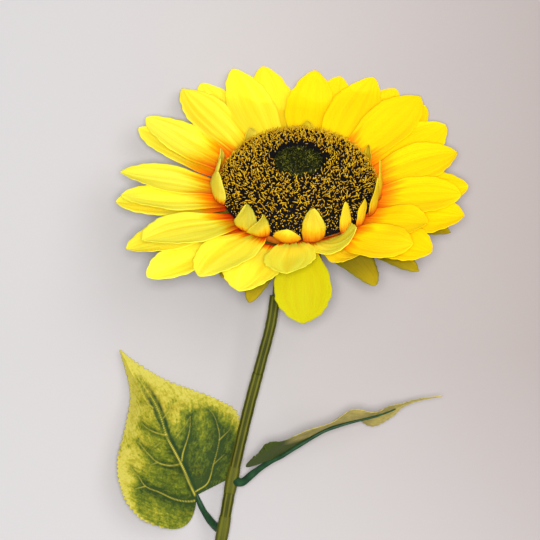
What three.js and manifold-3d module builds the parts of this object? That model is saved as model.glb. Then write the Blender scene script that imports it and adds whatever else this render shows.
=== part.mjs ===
// A cut sunflower lying on a flat surface: a tilted flower head, a ribbed stem and two leaves.
// It rests on its lower ray petals, on one leaf and on the cut end of its stem.
// Millimetres and degrees, +Z up. The stem runs towards -Y and the flower faces up and towards +Y.
// The exported group has the surface at z = 0 and the middle of its box on the Z axis.

import * as THREE from "three";
import { mergeVertices } from "three/addons/utils/BufferGeometryUtils.js";
import Module from "manifold-3d";

// ---------------------------------------------------------------- driving dimensions

const GAP = 0.35; // clearance between pieces that touch

// The head's own frame: its origin is the middle of the disc's rim, and its +Z is the way it faces.
const HEAD_TILT = 48; // how far the head's face leans from straight up

const DISC = { radius: 38, dome: 19, skirt: 1.2, bulge: 2.3, floor: 16 };
const BUTTON = { radius: 11, dome: 2.6 };
const TUCK = 3.2; // how far the ray petals start in under the disc
const PETAL_SEAT = 1.2; // how far from the receptacle's wall they start
const RECEPTACLE = { depth: 14, backRadius: 9, backDepth: 19 };

// Rings of petals. start is where a petal leaves the receptacle, and level is its height there.
// neck is how wide a petal starts, as a share of its width, and broadest is where along it the full
// width comes. cup lifts its edges as a share of its half width, and blunt is its half width at the
// tip. rest is how far above the surface a ring of petals stays.
const RAY_START = DISC.radius - TUCK;
const RECEPTACLE_RADIUS = RAY_START - PETAL_SEAT;
const RAY = { start: RAY_START, neck: 0.42, broadest: 0.56, blunt: 0.5 };
const RAY_INNER = { ...RAY, level: -2.9, width: 25, cup: 0.14, rest: 3.5 };
const RAY_OUTER = { ...RAY, level: -7.0, width: 26, cup: 0.1, rest: 0 };
const PETALET_STAND_OFF = 2.4; // from the disc's rim to the petalets' feet
const PETALET = {
  start: DISC.radius + PETALET_STAND_OFF,
  level: 1.4,
  width: 11.5,
  neck: 0.8,
  broadest: 0.3,
  cup: 0.25,
  blunt: 0.5,
  rest: 0,
};
const SEPAL = { width: 18, neck: 0.8, broadest: 0.35, cup: 0.12, blunt: 0.4, rest: 0 };
const CALYX_BAND = 2.2; // half the width of the band that joins a ring of sepals
const CALYX_LEVELS = { upper: -10.6, lower: -15.4 };
const RAY_THICK = 0.8;
const PETALET_THICK = 0.7;
const SEPAL_THICK = 0.8;

const STEM = { upperRadius: 2.7, lowerRadius: 2.85, ribs: 6, ribDepth: 0.28, sides: 12 };
const NECK = { radius: 1.6, topRadius: 2.6 };
const SLEEVE = { wall: 0.4, length: 14, stubRadius: 2.3, stubLength: 6.5 };
const LEAF_THICK = 0.8;
const RIB = { baseRadius: 2.0, neckRadius: 1.2, tipRadius: 0.5 };

// The lowest outer petals touch the surface this far out from the disc's rim and this high in the
// head's frame, which sets how high the head is carried.
const TOUCH = { beyondRim: 39.2, height: 5.25 };

// Each row below is one petal: azimuth (0 is +X, 90 is the side nearest the surface), length, lift
// at the base, curl along the length, roll about the length, sweep sideways and breadth, its width
// against the ring's.
const INNER_PETALS = [
  [110, 57, 9, 0, -8, 0, 1],
  [84, 51, 8, 0, -8, 0, 1],
  [64, 55, 11, 0, -8, 0, 1],
  [45, 56, 14, -4, -8, 2, 1],
  [15, 47.5, 15, -6, -8, -3, 1],
  [-7, 45, 13, -8, -8, 0, 1],
  [-31.5, 37.5, 19, 0, -8, 2, 0.9],
  [-53, 43, 19, 0, -8, 34, 0.95],
  [-74, 33.5, 27, 40, 0, 75, 0.9],
  [-94.5, 41, 21, -2, -8, 0, 0.98],
  [-124, 46, 15, -24, -10, -6, 1.1],
  [-146.5, 54, 16, -8, -9, 0, 1.18],
  [-171, 52, 12, -6, -10, -5, 1],
  [176, 53, 13, -4, -10, 4, 1],
  [149, 55, 14, -2, -8, 1, 1.05],
  [129.5, 58, 12, 0, -9, 0, 1.03],
];
const OUTER_PETALS = [
  [100, 58, 8, 0, -4, 0, 1],
  [76, 54, 8, 0, -6, 0, 1],
  [57, 59, 9, 0, -8, 0, 1],
  [44, 58, 10, 0, -9, 0, 1],
  [31, 54.5, 12, 0, -9, 2, 1],
  [2, 49, 9, 0, -9, -2, 1],
  [-15, 48, 10, 0, -9, 1, 1],
  [-36, 42, 9, -4, -8, 3, 0.97],
  [-61, 23, 20, 0, -7, 20, 0.9],
  [-88, 37, -24, -42, -4, 0, 1.05],
  [-112, 41, 10, -10, -7, 0, 1.05],
  [-140.5, 56, 3, -6, -7, -4, 0.98],
  [-156, 55, 3, -6, -7, 0, 0.97],
  [-176, 54, 6, -2, -7, 1, 1],
  [150.5, 58, 10, 0, -7, 0, 0.84],
  [120, 61, 7, 0, -7, 0, 1],
];

// Petalets are the short petals that stand up round the disc.
const PETALETS = [
  [-127.5, 19.5, 79, 0, -20, 76, 0.92],
  [-117, 20, 68, 0, -16, 90, 1],
  [-98, 10, 64, 40, 0, 0, 1.15],
  [-80.5, 23.5, 80, 4, 0, -36, 0.98],
  [-56.5, 18.5, 92, 5, 0, 0, 0.56],
  [-43, 17, 84, 0, 0, 0, 0.6],
  [-26, 21, 86, 4, 0, 16, 1.1],
  [-9, 22, 91, 6, 0, 0, 0.8],
  [31, 10, 84, 6, 0, 0, 0.5],
  [83, 10, 82, 10, 0, 0, 0.7],
  [125, 11, 82, 10, 0, 0, 0.7],
  [159, 13, 88, 8, 0, 0, 0.6],
  [179, 18, 92, 24, 0, 0, 0.8],
  [-166, 18, 88, 14, -20, 0, 1.1],
];

// Sepals are the green lobes under the ray petals.
const UPPER_SEPALS = [
  [-113, 32, -16, -22, 0, 0, 0.8],
  [-56, 34, 3, -26, 0, 0, 1],
  [-13, 45, 4, -20, 0, 0, 1],
  [33, 44, 2, -10, 0, 0, 1],
  [78, 27, 0, 0, 0, 0, 1],
  [123, 29, 0, 0, 0, 0, 1],
  [168, 44, 2, -10, 0, 0, 1],
  [-150, 44, 0, -14, 0, 0, 1],
];
const LOWER_SEPALS = [
  [-133, 34, -3, -20, 0, 0, 1],
  [-86, 26, -28, -22, 0, 0, 1],
  [-34, 49, 6, -30, 0, 0, 1],
  [10, 44, 2, -14, 0, 0, 1],
  [55, 30, 0, 0, 0, 0, 1],
  [100, 22, 0, 0, 0, 0, 1],
  [145, 32, 0, 0, 0, 0, 1],
  [-170, 44, 2, -14, 0, 0, 1],
];

// The stem's centreline, from the neck to the cut end, in the flower's frame below.
const STEM_PATH = [
  [-11, -52, 27],
  [-13.2, -66.2, 25.9],
  [-17.9, -84.4, 24.3],
  [-24.4, -108.7, 22.2],
  [-32.9, -145.3, 19.7],
  [-38.3, -175, 17.9],
  [-60, -285, 10.8],
  [-83, -430, 2.6],
];
const STEP_AT = 0.105; // where the upper stem plugs into the lower one, as a share of the length

// Leaves. spine is the midrib from the blade's foot to its tip. right and left are the halves, seen
// along the spine with +Z up: half is the greatest half width, fold the lift of the half at the
// foot, in the middle and at the tip, lobe how far it reaches back beside the stalk, and outline
// the share of half at shares of the length. at is the stalk's place on the stem.
const LEAF_LEFT = {
  at: 0.316,
  spine: [
    [-51.5, -154.7, 6.3],
    [-62, -134, 3.6],
    [-78, -106, 2.9],
    [-90.8, -80.2, 5],
  ],
  half: { right: 36, left: 37.5 },
  fold: { right: [1, 1, 8], left: [34, 34, 62] },
  lobe: { right: 0, left: 11.5 },
  outline: {
    right: [
      [0, 0.68],
      [0.1, 0.89],
      [0.2, 0.97],
      [0.32, 1],
      [0.44, 0.85],
      [0.62, 0.57],
      [0.74, 0.35],
      [0.84, 0.2],
      [0.93, 0.08],
      [1, 0.01],
    ],
    left: [
      [0, 0.7],
      [0.1, 0.94],
      [0.2, 1],
      [0.32, 0.98],
      [0.44, 0.84],
      [0.62, 0.5],
      [0.74, 0.25],
      [0.84, 0.13],
      [0.93, 0.06],
      [1, 0.01],
    ],
  },
  petiole: [[-47.8, -162.5, 6.4]],
};
const LEAF_RIGHT = {
  at: 0.249,
  spine: [
    [-10, -132.2, 30.8],
    [-3, -128.2, 32],
    [4.5, -123.4, 33.2],
    [16, -117.3, 34.3],
    [43, -110.2, 33],
    [58, -104.6, 29.5],
    [73, -102.2, 26.5],
  ],
  half: { right: 29, left: 31 },
  fold: { right: [-87, -86, -56], left: [70, 80, 74] },
  lobe: { right: 8, left: 14 },
  outline: {
    right: [
      [0, 0.6],
      [0.12, 0.9],
      [0.25, 1],
      [0.4, 0.96],
      [0.55, 0.8],
      [0.62, 0.56],
      [0.69, 0.18],
      [0.75, 0.07],
      [0.86, 0.045],
      [1, 0.01],
    ],
    left: [
      [0, 0.66],
      [0.12, 0.9],
      [0.25, 1],
      [0.4, 0.93],
      [0.55, 0.75],
      [0.63, 0.5],
      [0.7, 0.18],
      [0.76, 0.07],
      [0.86, 0.045],
      [1, 0.01],
    ],
  },
  petiole: [
    [-22, -141.4, 25.2],
    [-15.5, -136.4, 28.2],
  ],
};

// Smoothness
const RAY_GRID = [8, 4];
const PETALET_GRID = [6, 2];
const SEPAL_GRID = [6, 2];
const LEAF_GRID = [12, 8];

// ---------------------------------------------------------------- colours

const finish = (colour, roughness) =>
  new THREE.MeshStandardMaterial({ color: colour, roughness, metalness: 0 });
const COLOURS = {
  ray: finish(0xfde81c, 0.75),
  petalet: finish(0xd9c422, 0.8),
  disc: finish(0x2a2010, 0.95),
  button: finish(0x2f3a10, 0.95),
  calyx: finish(0x9a9020, 0.85),
  receptacle: finish(0x5d6a1e, 0.8),
  stem: finish(0x59601a, 0.6),
  rib: finish(0x1f5233, 0.55),
  leaf: finish(0x7d8a28, 0.8),
};

// ---------------------------------------------------------------- helpers

const radians = THREE.MathUtils.degToRad;
const lerp = THREE.MathUtils.lerp;
const clamp = THREE.MathUtils.clamp;
const vector = (list) => new THREE.Vector3(...list);
const TILT = radians(HEAD_TILT);
const UP_IN_HEAD = new THREE.Vector3(0, -Math.sin(TILT), Math.cos(TILT));
const HEAD_HEIGHT =
  (DISC.radius + TOUCH.beyondRim) * Math.sin(TILT) - TOUCH.height * Math.cos(TILT);
const FACE = new THREE.Vector3(0, 0, 1);
const WORLD_UP = new THREE.Vector3(0, 0, 1);

const named = (name, geometry, material) => {
  const mesh = new THREE.Mesh(geometry, material);
  mesh.name = name;
  return mesh;
};

const headToFlower = (point) =>
  point
    .clone()
    .applyAxisAngle(new THREE.Vector3(1, 0, 0), -TILT)
    .add(new THREE.Vector3(0, 0, HEAD_HEIGHT));

// The upward normal of a grid of points, whose rows run across and whose columns run along.
function gridNormal(grid, i, j) {
  const row = grid[i];
  const across = row[Math.min(j + 1, row.length - 1)].clone().sub(row[Math.max(j - 1, 0)]);
  const along = grid[Math.min(i + 1, grid.length - 1)][j].clone().sub(grid[Math.max(i - 1, 0)][j]);
  return across.cross(along).normalize();
}

// A closed thin sheet whose middle surface is the grid: a box with its corners moved to the grid.
function sheet(grid, thickness) {
  const along = grid.length - 1;
  const across = grid[0].length - 1;
  const geometry = new THREE.BoxGeometry(1, 1, 1, across, along, 1);
  const at = geometry.attributes.position;
  for (let k = 0; k < at.count; k++) {
    const i = Math.round((at.getY(k) + 0.5) * along);
    const j = Math.round((at.getX(k) + 0.5) * across);
    const side = (Math.sign(at.getZ(k)) * thickness) / 2;
    const point = grid[i][j].clone().addScaledVector(gridNormal(grid, i, j), side);
    at.setXYZ(k, point.x, point.y, point.z);
  }
  geometry.computeVertexNormals();
  return geometry;
}

// A closed rod along a curve. radiusAt(share, angle) is its radius.
function rod(curve, sides, steps, radiusAt) {
  const geometry = new THREE.CylinderGeometry(1, 1, 1, sides, steps);
  const at = geometry.attributes.position;
  for (let k = 0; k < at.count; k++) {
    const share = clamp(0.5 - at.getY(k), 0, 1);
    const x = at.getX(k);
    const z = at.getZ(k);
    const middle = curve.getPointAt(share);
    const ahead = curve.getTangentAt(share);
    const sideways = new THREE.Vector3().crossVectors(WORLD_UP, ahead).normalize();
    const upwards = new THREE.Vector3().crossVectors(ahead, sideways);
    const reach = Math.hypot(x, z) < 0.5 ? 0 : radiusAt(share, Math.atan2(z, x));
    const angle = Math.atan2(z, x);
    middle.addScaledVector(sideways, reach * Math.cos(angle));
    middle.addScaledVector(upwards, reach * Math.sin(angle));
    at.setXYZ(k, middle.x, middle.y, middle.z);
  }
  geometry.computeVertexNormals();
  return geometry;
}

const pathOf = (points) => new THREE.CatmullRomCurve3(points.map(vector), false, "centripetal");

// ---------------------------------------------------------------- petals

// Share of a petal's greatest half width at a share of its length: a narrow neck, a broad middle
// and a pointed tip.
function petalOutline(share, { neck, broadest }) {
  if (share < broadest) return neck + (1 - neck) * Math.sin(((share / broadest) * Math.PI) / 2);
  return Math.pow(1 - Math.pow((share - broadest) / (1 - broadest), 2.1), 0.78);
}

// The middle surface of one petal, in the head's frame. Its centreline leaves the receptacle,
// bends by curl and sweep, and lies along the surface wherever it would go through it.
function petalGrid(ring, thickness, steps, row) {
  const [azimuth, length, lift, curl, roll, sweep, breadth] = row;
  const [along, across] = steps;
  const lowest = ring.rest + thickness / 2;
  const heightOf = (point) => HEAD_HEIGHT + point.dot(UP_IN_HEAD);
  const point = new THREE.Vector3(ring.start, 0, ring.level).applyAxisAngle(FACE, radians(azimuth));
  const grid = [];
  for (let i = 0; i <= along; i++) {
    const share = i / along;
    const heading = radians(azimuth + sweep * share);
    const rise = radians(lift + curl * Math.pow(share, 1.5));
    const ahead = new THREE.Vector3(
      Math.cos(heading) * Math.cos(rise),
      Math.sin(heading) * Math.cos(rise),
      Math.sin(rise),
    );
    const step = length / along;
    const room = heightOf(point) - lowest;
    if (room + ahead.dot(UP_IN_HEAD) * step < 0) {
      ahead.addScaledVector(UP_IN_HEAD, -ahead.dot(UP_IN_HEAD) - Math.max(room, 0) / step).normalize();
    }
    const flat = new THREE.Vector3(Math.sin(heading), -Math.cos(heading), 0);
    const face = new THREE.Vector3().crossVectors(flat, ahead).normalize();
    const turn = radians(roll);
    const sideways = flat.clone().multiplyScalar(Math.cos(turn)).addScaledVector(face, Math.sin(turn));
    const upwards = new THREE.Vector3().crossVectors(sideways, ahead).normalize();
    const half = Math.max((ring.width / 2) * breadth * petalOutline(share, ring), ring.blunt);
    const points = [];
    for (let j = 0; j <= across; j++) {
      const v = (2 * j) / across - 1;
      const edge = point
        .clone()
        .addScaledVector(sideways, v * half)
        .addScaledVector(upwards, ring.cup * half * (v * v - 0.4));
      const sunk = lowest - heightOf(edge);
      if (sunk > 0) edge.addScaledVector(UP_IN_HEAD, sunk);
      points.push(edge);
    }
    grid.push(points);
    point.addScaledVector(ahead, step);
  }
  return grid;
}

function petalRing(label, ring, thickness, steps, rows, material) {
  return rows.map((row, k) => {
    const name = `${label}_${String(k + 1).padStart(2, "0")}`;
    return named(name, sheet(petalGrid(ring, thickness, steps, row), thickness), material);
  });
}

// ---------------------------------------------------------------- the head's core

// The disc's height above its rim at a distance from its middle.
const domeHeight = (r) =>
  DISC.skirt + (DISC.dome - DISC.skirt) * Math.pow(1 - Math.pow(r / DISC.radius, DISC.bulge), 1 / DISC.bulge);

const lathe = (points, sides) => {
  const geometry = new THREE.LatheGeometry(points.map((p) => new THREE.Vector2(...p)), sides);
  return geometry.rotateX(Math.PI / 2);
};

function disc() {
  const craterRadius = BUTTON.radius + GAP;
  const points = [
    [0, 0],
    [DISC.radius - 1, 0],
    [DISC.radius, DISC.skirt],
  ];
  for (const share of [0.97, 0.9, 0.8, 0.68, 0.55, 0.42]) {
    points.push([DISC.radius * share, domeHeight(DISC.radius * share)]);
  }
  points.push([craterRadius + 1, domeHeight(craterRadius + 1)]);
  points.push([craterRadius, DISC.floor]);
  points.push([0, DISC.floor]);
  return lathe(points, 36);
}

function button() {
  const floor = DISC.floor + GAP;
  const points = [
    [0, floor],
    [BUTTON.radius, floor],
    [BUTTON.radius, floor + BUTTON.dome * 0.4],
    [BUTTON.radius * 0.8, floor + BUTTON.dome * 0.8],
    [BUTTON.radius * 0.4, floor + BUTTON.dome],
    [0, floor + BUTTON.dome],
  ];
  return lathe(points, 24);
}

// The receptacle's outline from its back to its front, as [radius, height] pairs.
const RECEPTACLE_OUTLINE = [
  [RECEPTACLE.backRadius, -RECEPTACLE.backDepth],
  [RECEPTACLE_RADIUS * 0.62, -RECEPTACLE.depth],
  [RECEPTACLE_RADIUS * 0.86, -RECEPTACLE.depth * 0.72],
  [RECEPTACLE_RADIUS, -RECEPTACLE.depth * 0.5],
  [RECEPTACLE_RADIUS, -GAP],
];

const receptacle = () => lathe([[0, -RECEPTACLE.backDepth], ...RECEPTACLE_OUTLINE, [0, -GAP]], 32);

// A value read off a list of [share, value] pairs.
function readOff(pairs, share) {
  const next = Math.max(1, pairs.findIndex((pair) => pair[0] >= share));
  const [x0, y0] = pairs[next - 1];
  const [x1, y1] = pairs[next];
  return lerp(y0, y1, (share - x0) / (x1 - x0));
}

const receptacleRadiusAt = (height) =>
  readOff(
    RECEPTACLE_OUTLINE.map(([radius, level]) => [level, radius]),
    height,
  );

// ---------------------------------------------------------------- the calyx

// One ring of pointed green sepals with a thin band that joins their feet, as one piece. The
// band clears the receptacle at its upper edge, where the receptacle is wider.
function calyx(level, rows) {
  const under = level - SEPAL_THICK / 2;
  const over = level + SEPAL_THICK / 2;
  const inner = receptacleRadiusAt(over) + GAP;
  const outer = inner + 2 * CALYX_BAND;
  const profile = [
    [inner, under],
    [outer, under],
    [outer, over],
    [inner, over],
    [inner, under],
  ];
  const ring = { ...SEPAL, start: inner + CALYX_BAND, level };
  const sepals = rows.map((row) => sheet(petalGrid(ring, SEPAL_THICK, SEPAL_GRID, row), SEPAL_THICK));
  return joined([lathe(profile, 36), ...sepals]);
}

// ---------------------------------------------------------------- stem and leaves

const stemPath = pathOf(STEM_PATH);

// A stretch of the stem's path, as a curve of its own.
function stretch(curve, from, to, count = 12) {
  const points = [];
  for (let i = 0; i <= count; i++) points.push(curve.getPointAt(lerp(from, to, i / count)));
  return new THREE.CatmullRomCurve3(points, false, "centripetal");
}

const ribbed = (radius) => (share, angle) =>
  radius * (1 - STEM.ribDepth / radius) + STEM.ribDepth * Math.cos(STEM.ribs * angle);

function neckPath() {
  const back = headToFlower(new THREE.Vector3(0, 0, -RECEPTACLE.backDepth - GAP));
  const out = headToFlower(new THREE.Vector3(0, 0, -RECEPTACLE.backDepth - 9));
  const end = stemPath.getPointAt(0);
  const into = end.clone().addScaledVector(stemPath.getTangentAt(0), -12);
  const stop = end.clone().addScaledVector(stemPath.getTangentAt(0), -GAP);
  return new THREE.CatmullRomCurve3([back, out, into, stop], false, "centripetal");
}

// A leaf's stalk leaves the stem square to it, towards the first point of the stalk.
function stalkWay(leaf) {
  const along = stemPath.getTangentAt(leaf.at);
  const way = vector(leaf.petiole[0]).sub(stemPath.getPointAt(leaf.at));
  return way.addScaledVector(along, -way.dot(along)).normalize();
}

const stalkPoint = (leaf, reach) => stemPath.getPointAt(leaf.at).addScaledVector(stalkWay(leaf), reach);

// The lower stem, with a thin sleeve and a short stub where each leaf's stalk comes out.
function lowerStem() {
  const pieces = [rod(stretch(stemPath, STEP_AT, 1, 16), STEM.sides, 20, ribbed(STEM.lowerRadius))];
  for (const leaf of [LEAF_LEFT, LEAF_RIGHT]) {
    const half = SLEEVE.length / 2 / stemPath.getLength();
    const bulge = (share) => STEM.lowerRadius - 0.1 + SLEEVE.wall * Math.pow(Math.sin(Math.PI * share), 0.5);
    pieces.push(rod(stretch(stemPath, leaf.at - half, leaf.at + half, 4), STEM.sides, 6, bulge));
    const stub = new THREE.LineCurve3(stemPath.getPointAt(leaf.at), stalkPoint(leaf, SLEEVE.stubLength));
    pieces.push(rod(stub, 10, 1, () => SLEEVE.stubRadius));
  }
  return joined(pieces);
}

// A half's fold eases from the foot's to the middle's, and from the middle's to the tip's.
const foldAt = ([foot, middle, tip], share) =>
  lerp(lerp(foot, middle, THREE.MathUtils.smoothstep(share, 0, 0.4)), tip, THREE.MathUtils.smoothstep(share, 0.4, 0.8));

// The middle surface of a heart-shaped leaf. Rows run across it, and bow back into a lobe on
// each side of the stalk; each half lies in its own direction from the midrib.
function leafGrid(leaf) {
  const [along, across] = LEAF_GRID;
  const spine = pathOf(leaf.spine);
  const length = spine.getLength();
  const lowest = LEAF_THICK / 2;
  const grid = [];
  for (let i = 0; i <= along; i++) {
    const share = i / along;
    const row = [];
    for (let j = 0; j <= across; j++) {
      const v = (2 * j) / across - 1;
      const side = v > 0 ? "right" : "left";
      const bow = Math.sin(Math.PI * 0.8 * Math.pow(Math.abs(v), 0.85)) * Math.pow(1 - share, 2.2);
      const reach = share * length - leaf.lobe[side] * bow;
      const at = clamp(reach / length, 0, 1);
      const ahead = spine.getTangentAt(at);
      const point = spine.getPointAt(at).addScaledVector(ahead, Math.min(reach, 0));
      const sideways = new THREE.Vector3().crossVectors(ahead, WORLD_UP).normalize();
      const upwards = new THREE.Vector3().crossVectors(sideways, ahead);
      const fold = radians(foldAt(leaf.fold[side], share));
      const half = leaf.half[side] * readOff(leaf.outline[side], share);
      point.addScaledVector(sideways, half * Math.cos(fold) * v);
      point.addScaledVector(upwards, half * Math.sin(fold) * Math.abs(v));
      point.z = Math.max(point.z, lowest);
      row.push(point);
    }
    grid.push(row);
  }
  return grid;
}

// A leaf's stalk and the rib that runs on under its blade, as one piece. below is the way from
// the blade to the rib.
function leafRib(leaf, below) {
  const spine = pathOf(leaf.spine);
  const offset = LEAF_THICK / 2 + GAP + RIB.neckRadius;
  const points = [stalkPoint(leaf, SLEEVE.stubLength + GAP), stalkPoint(leaf, SLEEVE.stubLength + 2)];
  points.push(...leaf.petiole.map(vector));
  for (const share of [0.02, 0.16, 0.3, 0.45, 0.6, 0.72]) {
    const drop = lerp(offset, offset - 0.7, share);
    points.push(spine.getPointAt(share).addScaledVector(below, drop));
  }
  const curve = new THREE.CatmullRomCurve3(points, false, "centripetal");
  const stalk = 0.28;
  const radiusAt = (share) =>
    share < stalk
      ? lerp(RIB.baseRadius, RIB.neckRadius, share / stalk)
      : lerp(RIB.neckRadius, RIB.tipRadius, (share - stalk) / (1 - stalk));
  return rod(curve, 8, 18, radiusAt);
}

// ---------------------------------------------------------------- solids by manifold-3d

const wasm = await Module();
wasm.setup();

function solidOf(geometry) {
  const bare = geometry.clone();
  bare.deleteAttribute("normal");
  bare.deleteAttribute("uv");
  const merged = mergeVertices(bare, 1e-3);
  return new wasm.Manifold(
    new wasm.Mesh({
      numProp: 3,
      vertProperties: new Float32Array(merged.attributes.position.array),
      triVerts: new Uint32Array(merged.index.array),
    }),
  );
}

// Several overlapping closed shapes as one.
function joined(geometries) {
  const made = wasm.Manifold.union(geometries.map(solidOf)).getMesh();
  const geometry = new THREE.BufferGeometry();
  geometry.setAttribute("position", new THREE.BufferAttribute(made.vertProperties, 3));
  geometry.setIndex(new THREE.BufferAttribute(made.triVerts, 1));
  geometry.computeVertexNormals();
  return geometry;
}

// ---------------------------------------------------------------- the flower

const flower = new THREE.Group();

const head = new THREE.Group();
head.position.z = HEAD_HEIGHT;
head.rotation.x = -TILT;
head.add(
  named("seed_disc", disc(), COLOURS.disc),
  named("disc_button", button(), COLOURS.button),
  named("receptacle", receptacle(), COLOURS.receptacle),
  named("calyx_upper", calyx(CALYX_LEVELS.upper, UPPER_SEPALS), COLOURS.calyx),
  named("calyx_lower", calyx(CALYX_LEVELS.lower, LOWER_SEPALS), COLOURS.calyx),
  ...petalRing("ray_inner", RAY_INNER, RAY_THICK, RAY_GRID, INNER_PETALS, COLOURS.ray),
  ...petalRing("ray_outer", RAY_OUTER, RAY_THICK, RAY_GRID, OUTER_PETALS, COLOURS.ray),
  ...petalRing("petalet", PETALET, PETALET_THICK, PETALET_GRID, PETALETS, COLOURS.petalet),
);

const upperStem = stretch(stemPath, 0, STEP_AT - GAP / stemPath.getLength(), 4);
const neckRadius = (share) => lerp(NECK.topRadius, NECK.radius, Math.min(share * 3, 1));
const leftUnderside = new THREE.Vector3(0, 0, -1);
const rightUnderside = new THREE.Vector3(0.2, -1, 0).normalize();
flower.add(
  head,
  named("stem_neck", rod(neckPath(), 10, 10, neckRadius), COLOURS.stem),
  named("stem_upper", rod(upperStem, STEM.sides, 5, ribbed(STEM.upperRadius)), COLOURS.stem),
  named("stem_lower", lowerStem(), COLOURS.stem),
  named("leaf_left_blade", sheet(leafGrid(LEAF_LEFT), LEAF_THICK), COLOURS.leaf),
  named("leaf_left_rib", leafRib(LEAF_LEFT, leftUnderside), COLOURS.rib),
  named("leaf_right_blade", sheet(leafGrid(LEAF_RIGHT), LEAF_THICK), COLOURS.leaf),
  named("leaf_right_rib", leafRib(LEAF_RIGHT, rightUnderside), COLOURS.rib),
);

// Put the surface at z = 0 and the middle of the box on the Z axis.
flower.updateMatrixWorld(true);
const box = new THREE.Box3().setFromObject(flower, true);
flower.position.set(-(box.min.x + box.max.x) / 2, -(box.min.y + box.max.y) / 2, -box.min.z);

const part = new THREE.Group();
part.add(flower);

export default part;
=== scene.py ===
"""Looks of the cut sunflower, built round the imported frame. Lengths are in millimetres until
a mesh is made, in the flower's frame of part.mjs: the middle of the head is on the Z axis and the
surface is at z = 0. Meshes are made in metres, in the row frame."""

import math

import bpy
import numpy as np
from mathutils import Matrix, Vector


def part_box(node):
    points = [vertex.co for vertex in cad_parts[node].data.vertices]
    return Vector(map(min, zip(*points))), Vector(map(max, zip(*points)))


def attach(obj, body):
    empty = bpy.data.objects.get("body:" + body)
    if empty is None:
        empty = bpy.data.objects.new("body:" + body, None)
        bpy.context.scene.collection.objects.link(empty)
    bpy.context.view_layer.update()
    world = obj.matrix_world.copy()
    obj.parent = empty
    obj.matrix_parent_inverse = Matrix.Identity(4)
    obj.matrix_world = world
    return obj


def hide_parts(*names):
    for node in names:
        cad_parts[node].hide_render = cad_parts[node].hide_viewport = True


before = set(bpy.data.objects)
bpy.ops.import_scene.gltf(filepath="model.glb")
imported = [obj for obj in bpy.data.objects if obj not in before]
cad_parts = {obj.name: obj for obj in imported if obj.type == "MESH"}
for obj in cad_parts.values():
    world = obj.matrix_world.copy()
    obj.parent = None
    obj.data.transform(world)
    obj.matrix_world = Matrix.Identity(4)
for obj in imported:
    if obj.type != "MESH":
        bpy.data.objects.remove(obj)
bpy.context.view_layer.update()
rng = np.random.default_rng(11)

# ---------- sizes shared with part.mjs

TILT = math.radians(48)
DISC_RADIUS, DISC_DOME, DISC_SKIRT, DISC_BULGE, DISC_FLOOR = 38, 19, 1.2, 2.3, 16
BUTTON_RADIUS, BUTTON_DOME = 11, 2.6
GAP = 0.35
RAY_START = DISC_RADIUS - 3.2
RECEPTACLE_RADIUS = RAY_START - 1.2
RECEPTACLE_DEPTH, BACK_RADIUS, BACK_DEPTH = 14, 9, 19
# The head rests on a point this far beyond the disc's rim and this far above its foot.
LOW_REACH, LOW_LEVEL = 39.2, 5.25
HEAD_HEIGHT = (DISC_RADIUS + LOW_REACH) * math.sin(TILT) - LOW_LEVEL * math.cos(TILT)
UP = np.array([0, -math.sin(TILT), math.cos(TILT)])

# Each kind of petal: where it starts and how high, its width, how wide its foot is, where it is
# broadest, how cupped it is, how far above the surface it stays and how thick its solid is.
RAY_SHAPE = dict(start=RAY_START, neck=0.42, broadest=0.56, thick=0.8)
INNER = dict(RAY_SHAPE, level=-2.9, width=25, cup=0.14, rest=3.5)
OUTER = dict(RAY_SHAPE, level=-7.0, width=26, cup=0.1, rest=0)
PETALET = dict(
    start=DISC_RADIUS + 2.4, level=1.4, width=11.5, neck=0.8, broadest=0.3, cup=0.25, rest=0, thick=0.7
)
SEPAL = dict(width=18, neck=0.8, broadest=0.35, cup=0.12, rest=0, thick=0.8)

# Each row: azimuth, length, lift, curl, roll, sweep and breadth of one petal.
INNER_PETALS = [
    (110, 57, 9, 0, -8, 0, 1), (84, 51, 8, 0, -8, 0, 1), (64, 55, 11, 0, -8, 0, 1),
    (45, 56, 14, -4, -8, 2, 1), (15, 47.5, 15, -6, -8, -3, 1), (-7, 45, 13, -8, -8, 0, 1),
    (-31.5, 37.5, 19, 0, -8, 2, 0.9), (-53, 43, 19, 0, -8, 34, 0.95), (-74, 33.5, 27, 40, 0, 75, 0.9),
    (-94.5, 41, 21, -2, -8, 0, 0.98), (-124, 46, 15, -24, -10, -6, 1.1), (-146.5, 54, 16, -8, -9, 0, 1.18),
    (-171, 52, 12, -6, -10, -5, 1), (176, 53, 13, -4, -10, 4, 1), (149, 55, 14, -2, -8, 1, 1.05),
    (129.5, 58, 12, 0, -9, 0, 1.03),
]
OUTER_PETALS = [
    (100, 58, 8, 0, -4, 0, 1), (76, 54, 8, 0, -6, 0, 1), (57, 59, 9, 0, -8, 0, 1),
    (44, 58, 10, 0, -9, 0, 1), (31, 54.5, 12, 0, -9, 2, 1), (2, 49, 9, 0, -9, -2, 1),
    (-15, 48, 10, 0, -9, 1, 1), (-36, 42, 9, -4, -8, 3, 0.97), (-61, 23, 20, 0, -7, 20, 0.9),
    (-88, 37, -24, -42, -4, 0, 1.05), (-112, 41, 10, -10, -7, 0, 1.05), (-140.5, 56, 3, -6, -7, -4, 0.98),
    (-156, 55, 3, -6, -7, 0, 0.97), (-176, 54, 6, -2, -7, 1, 1), (150.5, 58, 10, 0, -7, 0, 0.84),
    (120, 61, 7, 0, -7, 0, 1),
]
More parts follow.
